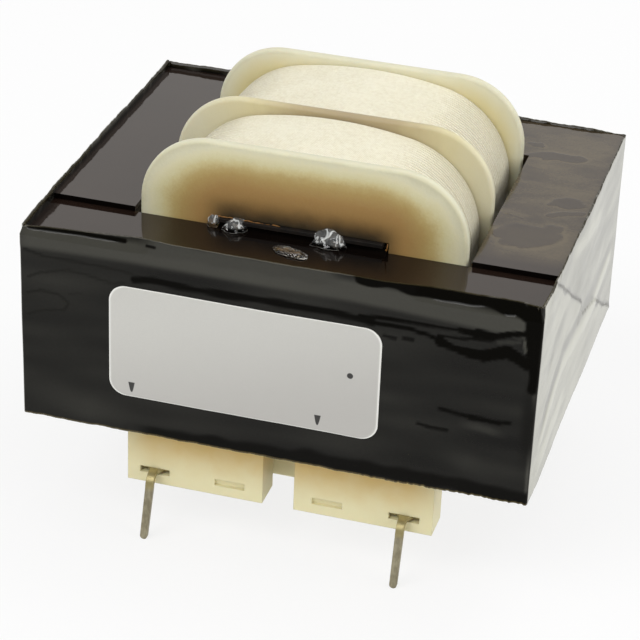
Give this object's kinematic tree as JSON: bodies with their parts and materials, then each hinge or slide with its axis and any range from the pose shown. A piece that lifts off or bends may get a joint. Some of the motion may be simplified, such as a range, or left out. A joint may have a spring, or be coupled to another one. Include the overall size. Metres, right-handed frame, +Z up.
{
  "type": "pcb transformer",
  "caption": "Board-mounted mains transformer: split three-flange bobbin on a flat-lying laminated E and I core, wrapped in black film, on bent sheet terminals.",
  "frame": {"origin": "middle of the core in plan, at the height of the terminal tips", "axes": "+X along the core's longest side, +Y from the label side to the back, +Z up, away from the board"},
  "size_m": [0.0575, 0.0481, 0.0474],
  "materials": {
    "e_steel": "varnished electrical steel, dark and glossy",
    "i_steel": "varnished electrical steel, dark and glossy",
    "wedge_paper": "varnish-soaked dark paper strip",
    "bobbin_nylon": "translucent natural nylon, satin",
    "copper_winding": "enamelled copper wire",
    "woven_tape": "cream woven tape",
    "black_film": "glossy black film, slightly wrinkled",
    "label_stock": "pale grey printed stock, bare",
    "terminal_metal": "dull tin plate",
    "magnet_wire": "enamelled copper wire",
    "solder": "bright solder",
    "clear_varnish": "clear cured varnish"
  },
  "bodies": {
    "root": {"e_laminations": "e_steel", "i_laminations": "i_steel", "core_wedge": "wedge_paper", "bobbin": "bobbin_nylon", "primary_winding": "copper_winding", "secondary_winding": "copper_winding", "primary_wrap": "woven_tape", "secondary_wrap": "woven_tape", "core_film_band": "black_film", "label": "label_stock", "terminal_1": "terminal_metal", "terminal_4": "terminal_metal", "terminal_5": "terminal_metal", "terminal_6": "terminal_metal", "terminal_7": "terminal_metal", "terminal_8": "terminal_metal", "primary_leads": "magnet_wire", "secondary_leads": "magnet_wire", "solder_joints": "solder", "varnish_beads": "clear_varnish"}
  },
  "joints": []
}
